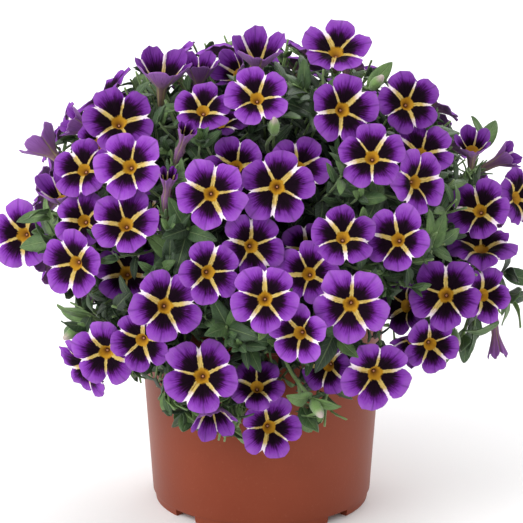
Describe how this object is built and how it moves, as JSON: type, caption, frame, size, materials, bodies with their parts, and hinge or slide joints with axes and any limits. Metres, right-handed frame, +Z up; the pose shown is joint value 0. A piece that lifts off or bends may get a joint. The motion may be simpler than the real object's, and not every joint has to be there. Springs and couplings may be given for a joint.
{
  "type": "calibrachoa in a pot",
  "caption": "Bushy bedding plant covered in violet funnel flowers with yellow-white stars, growing in a plain round plastic nursery pot.",
  "frame": {"origin": "on the pot's axis, on the floor under the pot's foot", "axes": "+Z up; -Y is the side the picture shows, with +X to its right; the plant is widest along X"},
  "size_m": [0.262, 0.2437, 0.2378],
  "materials": {
    "pot_plastic": "satin moulded",
    "potting_soil": "rough crumbly",
    "foliage": "matte, finely hairy",
    "petals": "velvety matte"
  },
  "bodies": {
    "root": {"pot": "pot_plastic", "soil": "potting_soil", "leafy_stem_1": "foliage", "leafy_stem_2": "foliage", "leafy_stem_3": "foliage", "leafy_stem_4": "foliage", "leafy_stem_5": "foliage", "leafy_stem_6": "foliage", "leafy_stem_7": "foliage", "leafy_stem_8": "foliage", "blooms_1": "petals", "blooms_2": "petals", "blooms_3": "petals", "blooms_4": "petals", "blooms_5": "petals", "blooms_6": "petals", "blooms_7": "petals", "blooms_8": "petals", "blooms_9": "petals", "blooms_10": "petals", "blooms_11": "petals", "blooms_12": "petals", "blooms_13": "petals", "blooms_14": "petals", "blooms_15": "petals", "blooms_16": "petals", "blooms_17": "petals", "blooms_18": "petals", "blooms_19": "petals", "blooms_20": "petals", "blooms_21": "petals", "blooms_22": "petals", "blooms_23": "petals", "blooms_24": "petals", "blooms_25": "petals", "blooms_26": "petals", "blooms_27": "petals", "blooms_28": "petals", "blooms_29": "petals", "blooms_30": "petals", "blooms_31": "petals", "blooms_32": "petals", "blooms_33": "petals", "blooms_34": "petals", "blooms_35": "petals", "blooms_36": "petals", "blooms_37": "petals", "blooms_38": "petals", "blooms_39": "petals", "blooms_40": "petals", "blooms_41": "petals", "blooms_42": "petals", "blooms_43": "petals", "blooms_44": "petals", "blooms_45": "petals", "blooms_46": "petals", "blooms_47": "petals", "blooms_48": "petals", "blooms_49": "petals", "blooms_50": "petals"}
  },
  "joints": []
}
